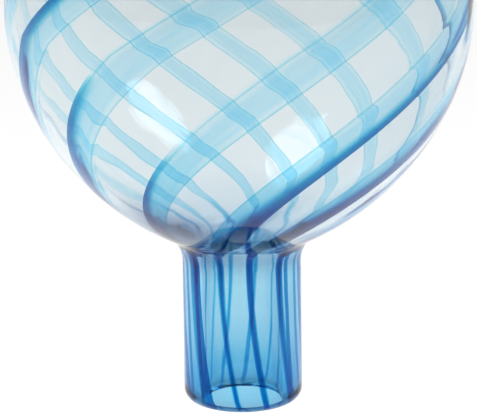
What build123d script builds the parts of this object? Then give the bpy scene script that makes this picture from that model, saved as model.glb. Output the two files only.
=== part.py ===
from build123d import *

import os
from math import cos, radians, sin

# A hand-blown watering globe: a clear glass bubble on a wide open neck, with blue glass canes
# cased in its wall in a swirl. The origin is at the middle of the neck's open rim, and the globe
# stands above it. Lengths are in millimetres and angles in degrees.

# Clear bubble
globe_radius = 53.1
globe_drop = 58.7
globe_wall = 2.6
neck_radius = 13.7
neck_wall = 4.4
neck_length = 35.4
crease_round = 7.2
lip_round = 3.0
bore_lip_round = 1.0

# Blue canes
cane_count = 12
cane_cover = 0.5
cane_thickness = 0.9
cane_angle_neck = 6.5
cane_angle_globe = 11.4
first_cane_angle = -50.2
rim_clear = 2.0
crown_clear_radius = 9.0

# Swirl of the canes: back by this much down the neck, and round by this much up to the crown.
# Only a share of the turn to the crown is steady, and the rest quickens on the way up.
neck_swirl = 18.4
globe_swirl = 198.4
steady_share = 0.91

# Uneven blowing spreads the canes and their gaps on one side of the globe, centred on this
# heading, and gathers them on the other. The spread and the canes' full width are reached over
# this share of the way to the crown.
spread_turn = 29.5
spread_heading = 61.0
opening_share = 0.45

# How far each cane strays from its even place, as laid by hand
cane_stray = [-1.6, -1.7, -2.7, -0.5, 5.3, 1.8, -0.2, 2.2, 4.4, 0.0, -3.2, -4.1]

# Sections along each cane, closest at the crease and each gap wider than the last up to a limit
crease_gap = 1.2
gap_growth = 1.2
widest_gap = 9.0

# Fullness of the globe's lower half at its base and at its side: the share of the way to the
# corner between them that each handle of its curve reaches
base_fullness = 0.41
side_fullness = 0.57

# The neck runs up to the base of the globe's egg shape
widest_height = neck_length + globe_drop

os.makedirs("parts", exist_ok=True)


def half_outline(globe_inset, neck_inset):
    """Half of the vessel's section, drawn in by the insets."""
    width = globe_radius - globe_inset
    drop = globe_drop - globe_inset
    tube = neck_radius - neck_inset
    with BuildSketch() as outline:
        with BuildLine():
            low = Bezier(
                (0, widest_height - drop),
                (base_fullness * width, widest_height - drop),
                (width, widest_height - side_fullness * drop),
                (width, widest_height),
            )
            high = CenterArc((0, widest_height), width, 0, 90)
            Line(high @ 1, low @ 0)
        make_face()
        Rectangle(tube, widest_height, align=(Align.MIN, Align.MIN))
        fillet(outline.vertices().sort_by_distance((tube, widest_height - drop))[0], crease_round)
    return outline.sketch


# The clear wall, whole until the canes are set into it
with BuildPart() as clear_glass_wall:
    with BuildSketch(Plane.XZ) as wall_section:
        add(half_outline(0, 0))
        add(half_outline(globe_wall, neck_wall), mode=Mode.SUBTRACT)
        fillet(wall_section.vertices().group_by(Axis.Y)[0].sort_by(Axis.X)[-1], lip_round)
        fillet(wall_section.vertices().group_by(Axis.Y)[0].sort_by(Axis.X)[0], bore_lip_round)
    revolve(axis=Axis.Z)

# The line up the outside of the glass, from the rim to the crown
bore_radius = neck_radius - neck_wall
outside_edges = half_outline(0, 0).edges().filter_by(lambda edge: (edge @ 0.5).X > bore_radius)
neck_edge, crease_edge = outside_edges.sort_by(Axis.Y)[:2]
meridian = Wire(outside_edges)
full_run = meridian.length
crease_run = neck_edge.length + crease_edge.length / 2


def globe_share(run):
    """Share of the way from the crease, 0, to the crown, 1, at a length along the meridian."""
    return max(0.0, run - crease_run) / (full_run - crease_run)


def opened_at(run):
    """How far a cane has opened out, from 0 on the neck to 1 on the globe."""
    return min(1.0, globe_share(run) / opening_share)


def heading_at(number, run, aside=0.0):
    """Angle about the axis of a cane's middle, or aside from it, 0 in front and rising to the right."""
    even = first_cane_angle + number * 360 / cane_count + cane_stray[number % len(cane_stray)]
    neck_share = max(0.0, crease_run - run) / crease_run
    share = globe_share(run)
    twist = globe_swirl * (steady_share * share + (1 - steady_share) * share**2)
    heading = even + aside + neck_swirl * neck_share**2 + twist
    return heading + spread_turn * opened_at(run) * sin(radians(heading - spread_heading))


def cane_section(number, run):
    """Plane across a cane, with Y pointing out of the glass, and the cane's width there."""
    spot = meridian @ (run / full_run)
    slope = meridian % (run / full_run)
    turn = radians(heading_at(number, run))
    turn_rate = radians(heading_at(number, run + 0.5) - heading_at(number, run - 0.5))
    spoke = Vector(sin(turn), -cos(turn), 0)
    around = Vector(cos(turn), sin(turn), 0)
    outward = spoke * slope.Y - Vector(0, 0, slope.X)
    upward = spoke * slope.X + Vector(0, 0, slope.Y)
    along = (upward + around * spot.X * turn_rate).normalized()
    half = (cane_angle_neck + (cane_angle_globe - cane_angle_neck) * opened_at(run)) / 2
    across = heading_at(number, run, half) - heading_at(number, run, -half)
    width = radians(across) * spot.X * along.dot(upward)
    centre = spoke * spot.X + Vector(0, 0, spot.Y)
    return Plane(centre, outward.cross(along), along), width


def gaps_from_crease(reach):
    """Distances from the crease to each section on one side of it, the last exactly at reach."""
    distances = [crease_gap]
    gap = crease_gap
    while distances[-1] < reach:
        gap = min(gap * gap_growth, widest_gap)
        distances.append(distances[-1] + gap)
    return [distance * reach / distances[-1] for distance in distances]


below_crease = gaps_from_crease(crease_run - rim_clear)
above_crease = gaps_from_crease(full_run - crown_clear_radius - crease_run)
section_runs = [crease_run - distance for distance in reversed(below_crease)]
section_runs.append(crease_run)
section_runs += [crease_run + distance for distance in above_crease]

# Each cane is a flat ribbon of glass, lofted through its sections under a cover of clear glass
canes = []
for number in range(cane_count):
    with BuildPart() as cane:
        for run in section_runs:
            plane, width = cane_section(number, run)
            with BuildSketch(plane):
                with Locations((0, -cane_cover)):
                    Rectangle(width, cane_thickness, align=(Align.CENTER, Align.MAX))
        loft()
    cane.part.label = f"blue_cane_{number + 1:02d}"
    export_step(cane.part, f"parts/{cane.part.label}.step")
    canes.append(cane.part)

# The clear glass closes round every cane
with clear_glass_wall:
    add(canes, mode=Mode.SUBTRACT)
clear_glass_wall.part.label = "clear_glass_wall"
export_step(clear_glass_wall.part, "parts/clear_glass_wall.step")
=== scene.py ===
from math import atan2, cos, exp, hypot, pi, radians, sin

import bpy
from mathutils import Matrix, Vector


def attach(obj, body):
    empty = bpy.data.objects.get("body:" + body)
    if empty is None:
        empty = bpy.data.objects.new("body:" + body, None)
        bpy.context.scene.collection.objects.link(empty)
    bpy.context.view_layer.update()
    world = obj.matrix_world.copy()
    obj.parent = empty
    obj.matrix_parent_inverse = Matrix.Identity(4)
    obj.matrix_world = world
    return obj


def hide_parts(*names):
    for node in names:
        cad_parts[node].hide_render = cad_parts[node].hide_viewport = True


# A hand-blown watering globe in clear glass, with blue canes cased in its wall.
# Lengths here are in millimetres and become metres in the meshes; angles are in degrees.

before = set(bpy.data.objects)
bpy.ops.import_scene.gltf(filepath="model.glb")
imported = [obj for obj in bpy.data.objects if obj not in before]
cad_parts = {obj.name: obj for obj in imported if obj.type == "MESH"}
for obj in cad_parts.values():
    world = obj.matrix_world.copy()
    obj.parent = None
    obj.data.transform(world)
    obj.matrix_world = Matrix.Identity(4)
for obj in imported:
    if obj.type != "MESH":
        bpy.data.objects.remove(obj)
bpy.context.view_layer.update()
MM = 0.001

# Clear bubble
GLOBE_RADIUS = 53.1
GLOBE_DROP = 58.7
GLOBE_WALL = 2.6
NECK_RADIUS = 13.7
NECK_WALL = 4.4
NECK_LENGTH = 35.4
CREASE_ROUND = 7.2
LIP_ROUND = 3.0
BORE_LIP_ROUND = 1.0
BASE_FULLNESS = 0.41
SIDE_FULLNESS = 0.57
WIDEST_HEIGHT = NECK_LENGTH + GLOBE_DROP

# Blue canes and their swirl
CANE_COUNT = 12
CANE_COVER = 0.5
CANE_THICKNESS = 0.9
CANE_ANGLE_NECK = 6.5
CANE_ANGLE_GLOBE = 11.4
FIRST_CANE_ANGLE = -50.2
CROWN_CLEAR = 9.0
NECK_SWIRL = 18.4
GLOBE_SWIRL = 198.4
STEADY_SHARE = 0.91
SPREAD_TURN = 29.5
SPREAD_HEADING = 61.0
OPENING_SHARE = 0.45
CANE_STRAY = [-1.6, -1.7, -2.7, -0.5, 5.3, 1.8, -0.2, 2.2, 4.4, 0.0, -3.2, -4.1]

# Dense strand of colour along one edge of a cane on the globe: which edge, how wide it is at the
# crease and higher up, the share of the way to the crown at which it has faded, how far it hangs
# over the cane's edge at the crease and higher up, and how strong it is
DENSE_LINES = {
    10: (-1, 3.2, 3.2, 2.0, 1.2, 1.2, 1.0),
    11: (-1, 2.6, 2.6, 0.42, 1.2, 1.2, 1.0),
    0: (-1, 2.2, 1.5, 0.30, 1.3, 1.3, 0.9),
    1: (1, 6.5, 3.0, 0.66, 5.6, -0.8, 1.1),
    2: (1, 6.0, 4.6, 0.47, 2.0, 5.4, 1.6),
    3: (1, 1.8, 1.4, 0.32, 0.8, 0.8, 0.8),
}

# A strand that starts only at this share of the way to the crown
LATE_LINES = {10: 0.2}

# Density of a strand at the crease and from the shoulder on, the shares of the way to the crown
# over which it comes in, reaches the shoulder and fades, and those over which its hang comes in and
# goes from its lower to its higher value
STRAND_LOW = 3.2
STRAND_HIGH = 1.35
LINE_START = 0.05
SHOULDER_SHARE = 0.25
FADE_SHARE = 0.08
HANG_SHARE = 0.07
HANG_END = 0.5

# Thin line along both edges of every cane on the globe: its density, its width and the share of the
# way to the crown over which it comes in
EDGE_LINE = 0.19
EDGE_LINE_WIDTH = 0.3
EDGE_LINE_START = 0.1

# Deeper colour low on the globe, painted shade of its underside, in the canes that cross the front
# of the crease and, less, in the others, and deeper still at the crease itself, painted shade there
CREASE_CANES = (11, 0, 1, 2, 3)
LOW_BODY_SHADE = 0.28
LOW_BODY_SHADE_BACK = 0.06
LOW_BODY_SHADE_SHARE = 0.34
CREASE_SHADE_DENSE = 0.6
CREASE_REACH = 9.0

# Half width of the dense line in the neck, as a share of the cane's, and its strength
NECK_LINES = [(2.6, 1.3), (0.65, 1.6), (0.9, 1.6), (0.85, 1.6), (2.0, 1.0), (1.2, 0.8),
              (0.5, 0.6), (0.9, 0.7), (0.7, 0.7), (0.5, 0.4), (1.2, 0.9), (2.0, 1.1)]

# How far the first cane hangs over to the left in the neck
NECK_OVERHANG = {0: 1.4}

# Angles round the lip at which the canes' ends lie
LIP_ANGLES = (60, 45, 30, 15)

# Groove that blowing leaves on the inside of the wall, under all but the smooth canes: its depth,
# the share of a cane's width that it takes, the share of the way to the crown over which it comes
# in above the crease, and the length over which it ends below the crown
GROOVE = 0.08
GROOVE_SHARE = 0.85
GROOVE_START = 0.1
GROOVE_END = 20
SMOOTH_CANES = (2, 3, 4)

# Tint of the outside by height, deep in the lip, and deep in the crease as painted shade, with the
# inside left nearly clear
CLEAR_TINT = (0.90, 0.935, 0.945)
OUTSIDE_TINTS_AND_CREASE_SHADE = [
    (0.0, (0.04, 0.19, 0.44)),
    (2.0, (0.06, 0.26, 0.52)),
    (4.5, (0.065, 0.36, 0.66)),
    (8.0, (0.09, 0.42, 0.70)),
    (18.0, (0.32, 0.64, 0.82)),
    (31.0, (0.36, 0.68, 0.84)),
    # Painted shade in the crease
    (36.0, (0.20, 0.38, 0.58)),
    (41.0, (0.45, 0.58, 0.70)),
    (47.0, (0.74, 0.82, 0.865)),
    (56.0, (0.81, 0.865, 0.885)),
]

# Painted shade in the glass, inside and out: lavender-grey shade twice and deep blue shade on the
# shoulder, the root of the densest strand there, which is cane colour, pale grey shade on the right
# of the globe, and blue shade on both sides of the neck. The heading and height of each, how far it
# reaches in both, how it climbs per degree, and its colour
PAINTED_SHADES_AND_STRAND_ROOT = [
    (-42.0, 44.0, 34.0, 7.0, 0.0, (0.30, 0.37, 0.48)),
    (-30.0, 46.3, 14.0, 4.2, 0.0, (0.24, 0.30, 0.43)),
    (5.0, 45.4, 9.0, 2.4, 0.15, (0.24, 0.44, 0.62)),
    (-4.0, 47.3, 12.0, 1.7, 0.42, (0.07, 0.20, 0.36)),
    (85.0, 72.0, 34.0, 26.0, 0.0, (0.80, 0.86, 0.90)),
    (95.0, 18.0, 34.0, 20.0, 0.0, (0.50, 0.64, 0.78)),
    (-95.0, 18.0, 34.0, 20.0, 0.0, (0.60, 0.75, 0.87)),
]

# Rows of points up the wall: neck, crease, lower half, upper half and each round of the lip. The
# last row stops this angle in radians short of the crown, and a flat face closes it
NECK_ROWS = 24
CREASE_ROWS = 30
LOWER_ROWS = 60
UPPER_ROWS = 54
LIP_ROWS = 24
CROWN_HOLE = 0.02
ARC_TRIES = 60

# Places across a cane and across the clear glass between two canes, for the wall, and across a
# cane's own mesh, all from one edge to the other
BAND_PLACES = [-1.0, -0.85, -0.65, -0.4, 0.0, 0.4, 0.65, 0.85, 1.0]
GAP_PLACES = [0.06, 0.2, 0.4, 0.6, 0.8, 0.94]
LINE_PLACES = [-1.0, -0.97, -0.94, -0.9, -0.84, -0.76, -0.64, -0.45, -0.22, 0.0,
               0.22, 0.45, 0.64, 0.76, 0.84, 0.9, 0.94, 0.97, 1.0]

# Clear glass: how its tint comes and goes, and its ripple
GLASS_IOR = 1.5
CLOUD_SCALE = 30.0
CLOUD_DETAIL = 2.0
CLOUD_RANGE = (0.75, 1.25)
RIPPLE_SCALE = 60.0
RIPPLE_DETAIL = 1.0
RIPPLE_STRENGTH = 0.075
RIPPLE_DISTANCE = 0.004

# Blue glass: streaks along the canes, how much pale blue they carry, and how it thins to the edges
STREAK_STRETCH = (2.2, 5.0, 1.0)
STREAK_SCALE = 1.6
STREAK_DETAIL = 3.0
STREAK_RANGE = (0.3, 0.7)
PALE_RANGE = (0.22, 0.44)
THIN_PLACES = (0.45, 1.1)
THIN_RANGE = (1.15, 0.3)
PALE_BLUE = (0.55, 0.87, 1.0, 1)
COBALT = (0.012, 0.375, 0.66, 1)
SHARE_PER_SURFACE = 0.5

# Floor, in metres, and how much it is brightened where it is seen
FLOOR_REACH = 4
FLOOR_HEIGHT = -0.06
FLOOR_COLOUR = (0.92, 0.92, 0.92, 1)
FLOOR_LIFT = 0.21

# White room: where it turns from dark to bright, towards the back, and how bright it is there
ROOM_DEPTHS = (-0.75, 0.35)
ROOM_RANGE = (0.36, 0.83)

# Softboxes: name, heading, size in metres and power, and how far they stand from the globe
SOFTBOXES = [
    ("softbox_right", (0.64, -0.09, 0.75), (0.40, 0.50), 1.9),
    ("softbox_left", (-0.45, 0.05, 0.9), (0.48, 0.48), 2.0),
]
SOFTBOX_DISTANCE = 0.9

# Camera: the focal length is in pixels of a frame of this width
FRAME_WIDTH = 477
FOCAL = 3484
SENSOR = 36.0
CLIP_START = 0.01
DISTANCE = 800.0
ELEVATION = 15.0
AIM_HEIGHT = 45.78
SIDE_SHIFT = -0.64
ROLL = -0.64

# Enough for light to cross the glass many times
BOUNCES = 32


def vessel_line(globe_inset, neck_inset, lip):
    """Points (radius, height) up the glass from the rim to the crown, drawn in by the insets."""
    width = GLOBE_RADIUS - globe_inset
    drop = GLOBE_DROP - globe_inset
    tube = NECK_RADIUS - neck_inset
    base = WIDEST_HEIGHT - drop
    handles = ((0, base), (BASE_FULLNESS * width, base),
               (width, WIDEST_HEIGHT - SIDE_FULLNESS * drop), (width, WIDEST_HEIGHT))

    def globe_point(t):
        weights = (1 - t) ** 3, 3 * (1 - t) ** 2 * t, 3 * (1 - t) * t**2, t**3
        return [sum(w * h[axis] for w, h in zip(weights, handles)) for axis in (0, 1)]

    def globe_normal(t):
        weights = (1 - t) ** 2, 2 * (1 - t) * t, t**2
        steps = [[b[axis] - a[axis] for a, b in zip(handles, handles[1:])] for axis in (0, 1)]
        across, up = (sum(w * s for w, s in zip(weights, steps[axis])) for axis in (0, 1))
        return up / hypot(across, up), -across / hypot(across, up)

    # The crease is an arc that touches the neck and the globe's underside
    low, high = 0.0, 1.0
    for _ in range(ARC_TRIES):
        start = (low + high) / 2
        reach = globe_point(start)[0] + CREASE_ROUND * globe_normal(start)[0]
        low, high = (start, high) if reach < tube + CREASE_ROUND else (low, start)
    touch, normal = globe_point(start), globe_normal(start)
    centre = touch[0] + CREASE_ROUND * normal[0], touch[1] + CREASE_ROUND * normal[1]
    last = atan2(-normal[1], -normal[0])

    points = []
    for row in range(NECK_ROWS):
        points.append((tube, lip + (centre[1] - lip) * row / NECK_ROWS))
    for row in range(CREASE_ROWS):
        angle = pi + (last - pi) * row / CREASE_ROWS
        points.append((centre[0] + CREASE_ROUND * cos(angle),
                       centre[1] + CREASE_ROUND * sin(angle)))
    for row in range(LOWER_ROWS):
        points.append(tuple(globe_point(start + (1 - start) * row / LOWER_ROWS)))
    for row in range(UPPER_ROWS + 1):
        angle = (pi / 2 - CROWN_HOLE) * row / UPPER_ROWS
        points.append((width * cos(angle), WIDEST_HEIGHT + width * sin(angle)))
    return points


outside = vessel_line(0, 0, LIP_ROUND)
inside = vessel_line(GLOBE_WALL, NECK_WALL, BORE_LIP_ROUND)

# Length run up the outside from the rim at each row
runs = [LIP_ROUND]
for (r0, z0), (r1, z1) in zip(outside, outside[1:]):
    runs.append(runs[-1] + hypot(r1 - r0, z1 - z0))
full_run = runs[-1]
crease_run = runs[NECK_ROWS + CREASE_ROWS // 2]


def globe_share(run):
    """Share of the way from the crease, 0, to the crown, 1."""
    return max(0.0, run - crease_run) / (full_run - crease_run)


def opened_at(run):
    """How far a cane has opened out, from 0 on the neck to 1 on the globe."""
    return min(1.0, globe_share(run) / OPENING_SHARE)


def even_heading(number, run):
    """Angle of a cane's middle about the axis before the uneven spread."""
    even = FIRST_CANE_ANGLE + number * 360 / CANE_COUNT + CANE_STRAY[number % CANE_COUNT]
    neck_share = max(0.0, crease_run - run) / crease_run
    share = globe_share(run)
    twist = GLOBE_SWIRL * (STEADY_SHARE * share + (1 - STEADY_SHARE) * share**2)
    return even + NECK_SWIRL * neck_share**2 + twist


def spread_out(heading, run):
    """The heading after uneven blowing: 0 in front and rising to the right."""
    return heading + SPREAD_TURN * opened_at(run) * sin(radians(heading - SPREAD_HEADING))


def half_angle(run):
    """Half of a cane's angle about the axis, before the spread."""
    return (CANE_ANGLE_NECK + (CANE_ANGLE_GLOBE - CANE_ANGLE_NECK) * opened_at(run)) / 2


def place(radius, heading, height):
    """A point in metres at a radius and height, and a heading about the axis."""
    turn = radians(heading)
    return Vector((radius * sin(turn), -radius * cos(turn), height)) * MM


def slope_at(line, row):
    """Unit step (radius, height) along a line of points at a row."""
    r0, z0 = line[max(0, row - 1)]
    r1, z1 = line[min(len(line) - 1, row + 1)]
    size = hypot(r1 - r0, z1 - z0)
    return (r1 - r0) / size, (z1 - z0) / size


def mesh_object(name, points, faces, smooth=True):
    mesh = bpy.data.meshes.new(name)
    mesh.from_pydata(points, [], faces)
    mesh.update()
    mesh.polygons.foreach_set("use_smooth", [smooth] * len(mesh.polygons))
    obj = bpy.data.objects.new(name, mesh)
    bpy.context.scene.collection.objects.link(obj)
    return obj


def wall_columns(run):
    """Headings round the glass at a length up it, with how deep the groove is at each."""
    columns = []
    half = half_angle(run)
    for number in range(CANE_COUNT):
        middle = even_heading(number, run)
        for share in BAND_PLACES:
            inner = min(1.0, abs(share) / GROOVE_SHARE)
            depth = 0.0 if number in SMOOTH_CANES else (1 - inner**2) ** 2
            columns.append((middle + share * half, depth))
        start, stop = middle + half, even_heading(number + 1, run) - half
        for share in GAP_PLACES:
            columns.append((start + (stop - start) * share, 0.0))
    return [(spread_out(heading, run), depth) for heading, depth in columns]


# Clear wall: down the inside from the crown to the rim, round the lip and up the outside
rows = []
for row in reversed(range(len(inside))):
    rows.append((inside[row], slope_at(inside, row), runs[row], 1.0))
for step in range(1, LIP_ROWS + 1):
    angle = radians(180 + 90 * step / LIP_ROWS)
    middle = NECK_RADIUS - NECK_WALL + BORE_LIP_ROUND
    point = middle + BORE_LIP_ROUND * cos(angle), BORE_LIP_ROUND + BORE_LIP_ROUND * sin(angle)
    rows.append((point, (0, 1), 0.0, 0.0))
for step in range(LIP_ROWS):
    angle = radians(270 + 90 * step / LIP_ROWS)
    point = NECK_RADIUS - LIP_ROUND + LIP_ROUND * cos(angle), LIP_ROUND + LIP_ROUND * sin(angle)
    rows.append((point, (0, 1), LIP_ROUND * step / LIP_ROWS, 0.0))
for row in range(len(outside)):
    rows.append((outside[row], slope_at(outside, row), runs[row], 0.0))


def wall_tint_and_shade(heading, height, inner):
    """Colour of the clear glass at a heading and height, on the inside or the outside, painted
    shade included.
    """
    tint_and_shade = OUTSIDE_TINTS_AND_CREASE_SHADE[-1][1]
    for (z0, tint0), (z1, tint1) in zip(OUTSIDE_TINTS_AND_CREASE_SHADE, OUTSIDE_TINTS_AND_CREASE_SHADE[1:]):
        if height <= z1:
            share = max(0.0, height - z0) / (z1 - z0)
            tint_and_shade = tuple(a + (b - a) * share for a, b in zip(tint0, tint1))
            break
    if inner:
        tint_and_shade = CLEAR_TINT
    # Each patch darkens the glass: painted shade, all but the strand root, which is cane colour
    for middle, level, round_reach, up_reach, climb, patch_tint in PAINTED_SHADES_AND_STRAND_ROOT:
        aside = heading - middle
        above = height - level - climb * aside
        shade = exp(-(aside / round_reach) ** 2 - (above / up_reach) ** 2)
        tint_and_shade = tuple(a * b**shade for a, b in zip(tint_and_shade, patch_tint))
    return tint_and_shade


points, tints_and_shades = [], []
for (radius, height), (step_r, step_z), run, groove_share in rows:
    above_crease = min(1.0, globe_share(run) / GROOVE_START)
    below_crown = min(1.0, max(0.0, full_run - run) / GROOVE_END)
    fade = above_crease * below_crown
    for heading, depth in wall_columns(run):
        rise = GROOVE * depth * groove_share * fade
        points.append(place(radius + rise * step_z, heading, height - rise * step_r))
        tints_and_shades.extend((*wall_tint_and_shade((heading + 180) % 360 - 180, height, groove_share > 0), 1.0))
count = len(wall_columns(0.0))
faces = []
for row in range(len(rows) - 1):
    for column in range(count):
        after = (column + 1) % count
        faces.append((row * count + column, row * count + after,
                      (row + 1) * count + after, (row + 1) * count + column))
faces.append(tuple(range(count))[::-1])
faces.append(tuple((len(rows) - 1) * count + column for column in range(count)))
wall = mesh_object("glass_wall", points, faces)
# The wall's colour attribute holds its glass colour with the painted shade in it
wall.data.attributes.new("tint_and_shade", "FLOAT_COLOR", "POINT").data.foreach_set("color", tints_and_shades)


def bump_at(value, middle, width):
    """A smooth hump of height 1 at its middle, with a flattened top."""
    return exp(-abs((value - middle) / width) ** 3)


def hang_at(number, run):
    """How far a cane's strand hangs over its edge."""
    low, high = DENSE_LINES[number][4:6] if number in DENSE_LINES else (0, 0)
    share = globe_share(run)
    on_globe = min(1.0, share / HANG_SHARE)
    hang = low + (high - low) * min(1.0, share / HANG_END)
    return hang * on_globe + NECK_OVERHANG.get(number, 0.0) * (1 - on_globe)


def cobalt_and_shade(number, run, place_across, half_width):
    """How deep the cobalt is at a place across a cane, with painted shade added as more cobalt."""
    share = globe_share(run)
    edge_width = EDGE_LINE_WIDTH / half_width
    edges = bump_at(place_across, -1, edge_width) + bump_at(place_across, 1, edge_width)
    dense_and_shade = EDGE_LINE * edges * min(1.0, share / EDGE_LINE_START)
    neck_width, neck_strength = NECK_LINES[number]
    on_neck = 1 - min(1.0, share / LINE_START)
    dense_and_shade += on_neck * neck_strength * bump_at(place_across, 0, neck_width)
    # Painted shade: more cobalt low on the globe, mostly in the canes across the front of the
    # crease
    low_body_shade = LOW_BODY_SHADE if number in CREASE_CANES else LOW_BODY_SHADE_BACK
    dense_and_shade += low_body_shade * (1 - on_neck) * max(0.0, 1 - share / LOW_BODY_SHADE_SHARE)
    if number in DENSE_LINES:
        side, low, high, faded, _, _, full_strength = DENSE_LINES[number]
        width = low + (high - low) * min(1.0, share / SHOULDER_SHARE)
        left = min(1.0, max(0.0, (faded - share) / FADE_SHARE))
        strength = left * (1 - on_neck) * full_strength
        if number in LATE_LINES:
            strength *= min(1.0, max(0.0, (share - LATE_LINES[number]) / FADE_SHARE))
        strength *= STRAND_HIGH + (STRAND_LOW - STRAND_HIGH) * max(0.0, 1 - share / SHOULDER_SHARE)
        edge = side * (1 + hang_at(number, run) / half_width)
        dense_and_shade += strength * bump_at(place_across, edge, width / half_width)
    # Painted shade in the crease, as more cobalt in the front canes
    if number in CREASE_CANES:
        dense_and_shade += CREASE_SHADE_DENSE * bump_at(run, crease_run, CREASE_REACH)
    return dense_and_shade


def cane_line():
    """Points (radius, height), slopes and lengths run, from round the lip up towards the crown."""
    line = []
    for angle in LIP_ANGLES:
        turn = radians(angle)
        point = NECK_RADIUS - LIP_ROUND * (1 - cos(turn)), LIP_ROUND * (1 - sin(turn))
        line.append((point, (sin(turn), cos(turn)), LIP_ROUND * (1 - turn)))
    for row in range(len(runs)):
        if runs[row] < full_run - CROWN_CLEAR:
            line.append((outside[row], slope_at(outside, row), runs[row]))
    return line


def cane_mesh(number):
    """One cane: a flat ribbon in the wall, with the depth of its colour at each point, painted
    shade included.
    """
    kept = cane_line()
    points, dense_and_shade, across = [], [], []
    ring = 2 * len(LINE_PLACES)
    layers = ((CANE_COVER, LINE_PLACES), (CANE_COVER + CANE_THICKNESS, LINE_PLACES[::-1]))
    line_edge = DENSE_LINES[number][0] if number in DENSE_LINES else 0
    for (radius, height), (step_r, step_z), run in kept:
        middle, half = even_heading(number, run), half_angle(run)
        angle = spread_out(middle + half, run) - spread_out(middle - half, run)
        half_width = radians(angle) * radius / 2
        hang = hang_at(number, run)
        for depth, places in layers:
            for share in places:
                if share * line_edge > 0:
                    share *= 1 + hang / half_width
                heading = spread_out(middle + share * half, run)
                points.append(place(radius - depth * step_z, heading, height + depth * step_r))
                dense_and_shade.append(cobalt_and_shade(number, run, share, half_width))
                across.append((share, run / full_run))
    faces = []
    for row in range(len(kept) - 1):
        for edge in range(ring):
            after = (edge + 1) % ring
            faces.append((row * ring + edge, row * ring + after,
                          (row + 1) * ring + after, (row + 1) * ring + edge))
    faces.append(tuple(range(ring))[::-1])
    faces.append(tuple((len(kept) - 1) * ring + edge for edge in range(ring)))
    obj = mesh_object(f"cane_{number + 1:02d}", points, faces, smooth=False)
    layer = obj.data.attributes.new("dense_and_shade", "FLOAT", "POINT")
    layer.data.foreach_set("value", dense_and_shade)
    chart = obj.data.uv_layers.new(name="along")
    for loop in obj.data.loops:
        chart.data[loop.index].uv = across[loop.vertex_index]
    return obj


canes = [cane_mesh(number) for number in range(CANE_COUNT)]


def new_material(name):
    material = bpy.data.materials.new(name)
    material.use_nodes = True
    nodes = material.node_tree.nodes
    nodes.clear()
    return material, nodes, material.node_tree.links


def glass_material():
    material, nodes, links = new_material("clear_glass")
    out = nodes.new("ShaderNodeOutputMaterial")
    shader = nodes.new("ShaderNodeBsdfPrincipled")
    shader.inputs["Transmission Weight"].default_value = 1.0
    shader.inputs["Roughness"].default_value = 0.0
    shader.inputs["IOR"].default_value = GLASS_IOR
    links.new(shader.outputs["BSDF"], out.inputs["Surface"])
    where = nodes.new("ShaderNodeTexCoord")
    # The tint comes and goes a little, as glass gathered by hand does
    cloud = nodes.new("ShaderNodeTexNoise")
    cloud.inputs["Scale"].default_value = CLOUD_SCALE
    cloud.inputs["Detail"].default_value = CLOUD_DETAIL
    links.new(where.outputs["Object"], cloud.inputs["Vector"])
    depth = nodes.new("ShaderNodeMapRange")
    depth.inputs["To Min"].default_value, depth.inputs["To Max"].default_value = CLOUD_RANGE
    links.new(cloud.outputs["Fac"], depth.inputs["Value"])
    # The wall's colour attribute, painted shade in it, colours both the glass and its reflections
    layer = nodes.new("ShaderNodeAttribute")
    layer.attribute_name = "tint_and_shade"
    colour = nodes.new("ShaderNodeGamma")
    links.new(layer.outputs["Color"], colour.inputs["Color"])
    links.new(depth.outputs["Result"], colour.inputs["Gamma"])
    links.new(colour.outputs["Color"], shader.inputs["Base Color"])
    links.new(layer.outputs["Color"], shader.inputs["Specular Tint"])
    # Its surface ripples
    ripple = nodes.new("ShaderNodeTexNoise")
    ripple.inputs["Scale"].default_value = RIPPLE_SCALE
    ripple.inputs["Detail"].default_value = RIPPLE_DETAIL
    links.new(where.outputs["Object"], ripple.inputs["Vector"])
    bump = nodes.new("ShaderNodeBump")
    bump.inputs["Strength"].default_value = RIPPLE_STRENGTH
    bump.inputs["Distance"].default_value = RIPPLE_DISTANCE
    links.new(ripple.outputs["Fac"], bump.inputs["Height"])
    links.new(bump.outputs["Normal"], shader.inputs["Normal"])
    return material


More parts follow.
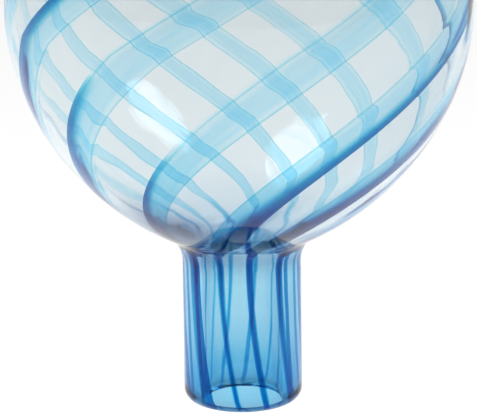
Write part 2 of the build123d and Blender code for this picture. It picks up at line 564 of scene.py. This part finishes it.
def cane_material():
    material, nodes, links = new_material("blue_glass")
    out = nodes.new("ShaderNodeOutputMaterial")
    shader = nodes.new("ShaderNodeBsdfTransparent")
    links.new(shader.outputs["BSDF"], out.inputs["Surface"])
    # Streaks run along the cane
    chart = nodes.new("ShaderNodeUVMap")
    chart.uv_map = "along"
    stretch = nodes.new("ShaderNodeMapping")
    stretch.inputs["Scale"].default_value = STREAK_STRETCH
    links.new(chart.outputs["UV"], stretch.inputs["Vector"])
    streaks = nodes.new("ShaderNodeTexNoise")
    streaks.inputs["Scale"].default_value = STREAK_SCALE
    streaks.inputs["Detail"].default_value = STREAK_DETAIL
    links.new(stretch.outputs["Vector"], streaks.inputs["Vector"])
    body = nodes.new("ShaderNodeMapRange")
    body.inputs["From Min"].default_value, body.inputs["From Max"].default_value = STREAK_RANGE
    body.inputs["To Min"].default_value, body.inputs["To Max"].default_value = PALE_RANGE
    links.new(streaks.outputs["Fac"], body.inputs["Value"])
    # The colour thins towards both edges
    split = nodes.new("ShaderNodeSeparateXYZ")
    links.new(chart.outputs["UV"], split.inputs["Vector"])
    side = nodes.new("ShaderNodeMath")
    side.operation = "ABSOLUTE"
    links.new(split.outputs["X"], side.inputs[0])
    thin = nodes.new("ShaderNodeMapRange")
    thin.interpolation_type = "SMOOTHSTEP"
    thin.inputs["From Min"].default_value, thin.inputs["From Max"].default_value = THIN_PLACES
    thin.inputs["To Min"].default_value, thin.inputs["To Max"].default_value = THIN_RANGE
    links.new(side.outputs["Value"], thin.inputs["Value"])
    amount = nodes.new("ShaderNodeMath")
    amount.operation = "MULTIPLY"
    links.new(body.outputs["Result"], amount.inputs[0])
    links.new(thin.outputs["Result"], amount.inputs[1])
    pale = nodes.new("ShaderNodeGamma")
    pale.inputs["Color"].default_value = PALE_BLUE
    links.new(amount.outputs["Value"], pale.inputs["Gamma"])
    # Cobalt deepens it where the mesh says, painted shade included, half at each surface that light
    # crosses
    layer = nodes.new("ShaderNodeAttribute")
    layer.attribute_name = "dense_and_shade"
    share = nodes.new("ShaderNodeMath")
    share.operation = "MULTIPLY"
    share.inputs[1].default_value = SHARE_PER_SURFACE
    links.new(layer.outputs["Fac"], share.inputs[0])
    cobalt = nodes.new("ShaderNodeGamma")
    cobalt.inputs["Color"].default_value = COBALT
    links.new(share.outputs["Value"], cobalt.inputs["Gamma"])
    both = nodes.new("ShaderNodeMix")
    both.data_type = "RGBA"
    both.blend_type = "MULTIPLY"
    both.inputs["Factor"].default_value = 1.0
    links.new(pale.outputs["Color"], both.inputs["A"])
    links.new(cobalt.outputs["Color"], both.inputs["B"])
    links.new(both.outputs["Result"], shader.inputs["Color"])
    return material


clear_glass = glass_material()
blue_glass = cane_material()

wall.data.materials.append(clear_glass)
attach(wall, "root")
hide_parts("clear_glass_wall")
for number, cane in enumerate(canes, start=1):
    cane.data.materials.append(blue_glass)
    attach(cane, "root")
    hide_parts(f"blue_cane_{number:02d}")

# Floor
corners = [(FLOOR_REACH * x, FLOOR_REACH * y, 0) for x, y in ((-1, -1), (1, -1), (1, 1), (-1, 1))]
floor = mesh_object("floor", corners, [(0, 1, 2, 3)])
floor.location.z = FLOOR_HEIGHT
material, nodes, links = new_material("pale_floor")
out = nodes.new("ShaderNodeOutputMaterial")
shader = nodes.new("ShaderNodeBsdfDiffuse")
shader.inputs["Color"].default_value = FLOOR_COLOUR
# The floor is brightened to white where it is seen straight, mirrored or through the glass
path = nodes.new("ShaderNodeLightPath")
seen = nodes.new("ShaderNodeMath")
seen.operation = "ADD"
links.new(path.outputs["Is Camera Ray"], seen.inputs[0])
links.new(path.outputs["Is Glossy Ray"], seen.inputs[1])
all_seen = nodes.new("ShaderNodeMath")
all_seen.operation = "ADD"
all_seen.use_clamp = True
links.new(seen.outputs["Value"], all_seen.inputs[0])
links.new(path.outputs["Is Transmission Ray"], all_seen.inputs[1])
lift = nodes.new("ShaderNodeMath")
lift.operation = "MULTIPLY"
lift.inputs[1].default_value = FLOOR_LIFT
links.new(all_seen.outputs["Value"], lift.inputs[0])
glow = nodes.new("ShaderNodeEmission")
links.new(lift.outputs["Value"], glow.inputs["Strength"])
both = nodes.new("ShaderNodeAddShader")
links.new(shader.outputs["BSDF"], both.inputs[0])
links.new(glow.outputs["Emission"], both.inputs[1])
links.new(both.outputs["Shader"], out.inputs["Surface"])
floor.data.materials.append(material)

# Studio: a white room that is darker on the camera's side
world = bpy.data.worlds.new("studio")
bpy.context.scene.world = world
world.use_nodes = True
nodes, links = world.node_tree.nodes, world.node_tree.links
backdrop = nodes["Background"]
backdrop.inputs["Color"].default_value = (1, 1, 1, 1)
where = nodes.new("ShaderNodeTexCoord")
split = nodes.new("ShaderNodeSeparateXYZ")
links.new(where.outputs["Generated"], split.inputs["Vector"])
depth = nodes.new("ShaderNodeMapRange")
depth.interpolation_type = "SMOOTHSTEP"
depth.inputs["From Min"].default_value, depth.inputs["From Max"].default_value = ROOM_DEPTHS
depth.inputs["To Min"].default_value, depth.inputs["To Max"].default_value = ROOM_RANGE
links.new(split.outputs["Y"], depth.inputs["Value"])
links.new(depth.outputs["Result"], backdrop.inputs["Strength"])

# Two softboxes aimed at the middle of the globe
for name, heading, size, power in SOFTBOXES:
    light = bpy.data.lights.new(name, "AREA")
    light.shape = "ELLIPSE"
    light.size, light.size_y = size
    light.energy = power
    obj = bpy.data.objects.new(name, light)
    bpy.context.scene.collection.objects.link(obj)
    aim = Vector((0, 0, WIDEST_HEIGHT * MM))
    obj.location = aim + Vector(heading).normalized() * SOFTBOX_DISTANCE
    obj.rotation_euler = (aim - obj.location).to_track_quat("-Z", "Y").to_euler()

# Camera
camera_data = bpy.data.cameras.new("camera")
camera_data.sensor_fit = "HORIZONTAL"
camera_data.sensor_width = SENSOR
camera_data.lens = SENSOR * FOCAL / FRAME_WIDTH
camera_data.clip_start = CLIP_START
camera = bpy.data.objects.new("camera", camera_data)
bpy.context.scene.collection.objects.link(camera)
tilt = radians(ELEVATION)
aim = Vector((SIDE_SHIFT, 0, AIM_HEIGHT)) * MM
camera.location = aim + Vector((0, -cos(tilt), sin(tilt))) * DISTANCE * MM
view_turn = Matrix.Rotation(pi / 2 - tilt, 4, "X") @ Matrix.Rotation(radians(ROLL), 4, "Z")
camera.rotation_euler = view_turn.to_euler()
bpy.context.scene.camera = camera

scene = bpy.context.scene
scene.view_settings.view_transform = "Standard"
scene.cycles.max_bounces = BOUNCES
scene.cycles.transmission_bounces = BOUNCES
scene.cycles.glossy_bounces = BOUNCES
scene.cycles.transparent_max_bounces = BOUNCES
